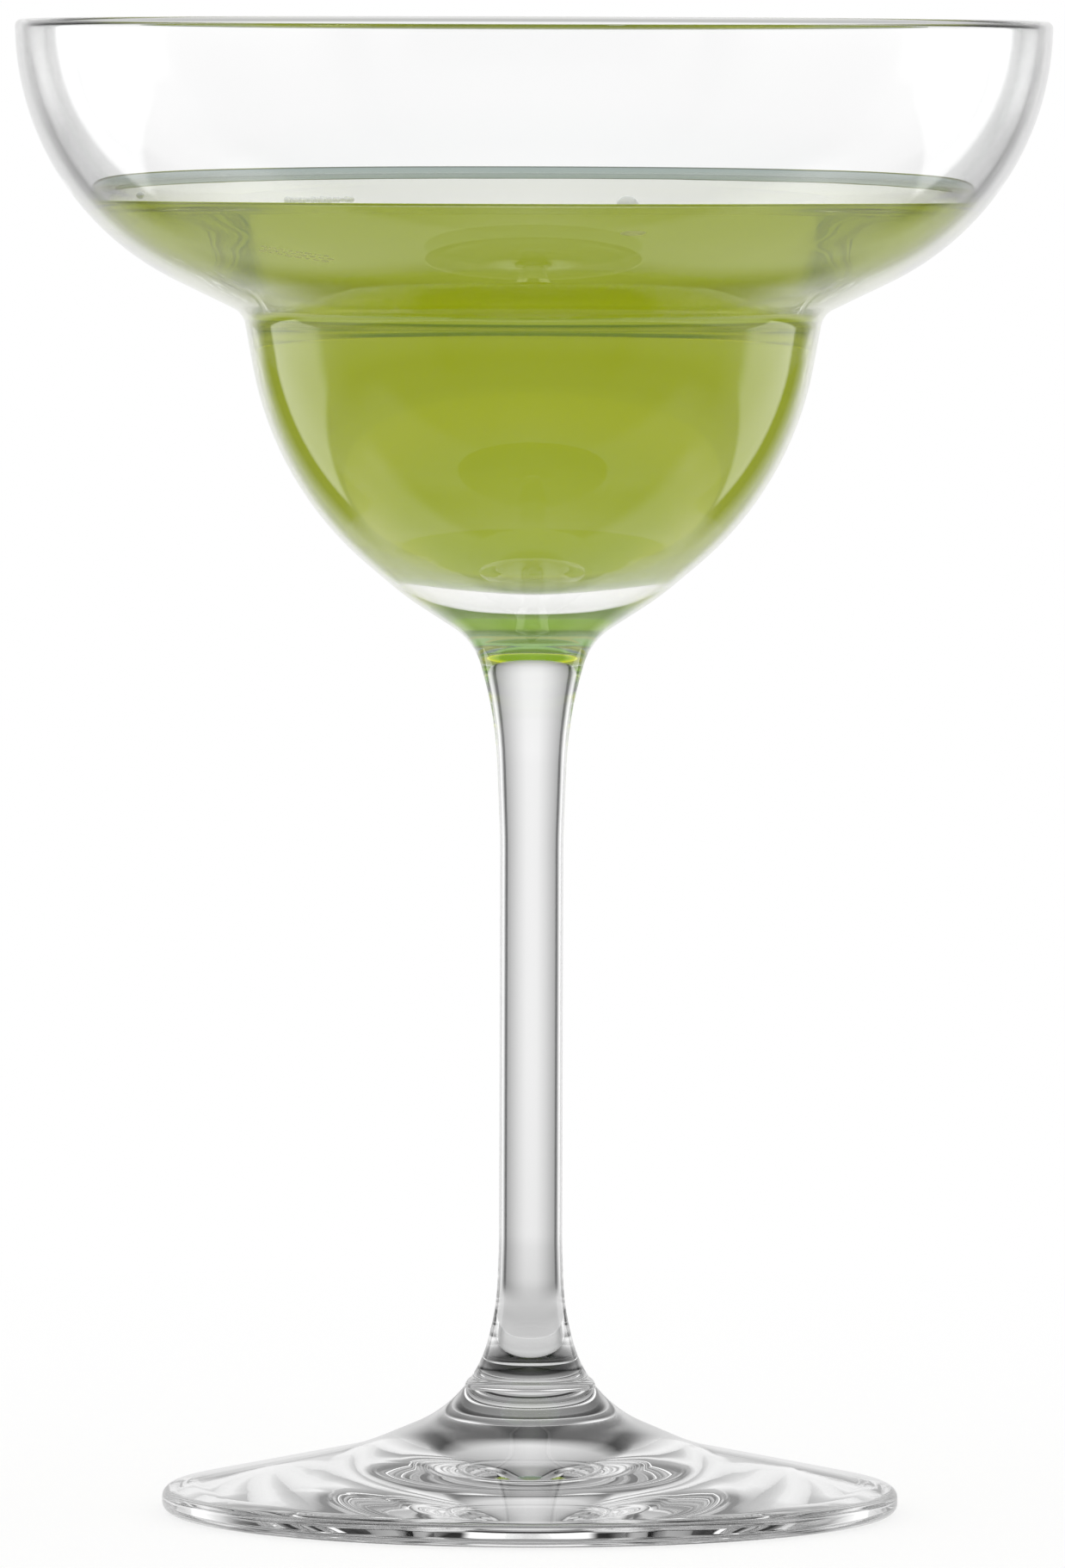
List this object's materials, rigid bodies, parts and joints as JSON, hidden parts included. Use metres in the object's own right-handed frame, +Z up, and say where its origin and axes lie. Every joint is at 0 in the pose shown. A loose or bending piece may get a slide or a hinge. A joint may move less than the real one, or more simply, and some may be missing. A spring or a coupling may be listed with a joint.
{
  "type": "margarita glass",
  "caption": "Stemmed margarita glass with a wide saucer rim over a narrow cup, on a round foot, holding a green drink that can be left out.",
  "frame": {"origin": "middle of the circle that the foot stands on, at table height", "axes": "+Z up along the stem, the axis that the glass is turned about; +Y is away from the viewer of the picture"},
  "size_m": [0.118, 0.118, 0.17],
  "materials": {
    "clear_glass": "clear, fire polished",
    "lime_drink": "cloudy green liquid",
    "bubble_film": "thin clear film"
  },
  "bodies": {
    "root": {"bowl": "clear_glass", "stem": "clear_glass", "foot": "clear_glass", "drink": "lime_drink", "bubbles": "bubble_film"}
  },
  "joints": []
}
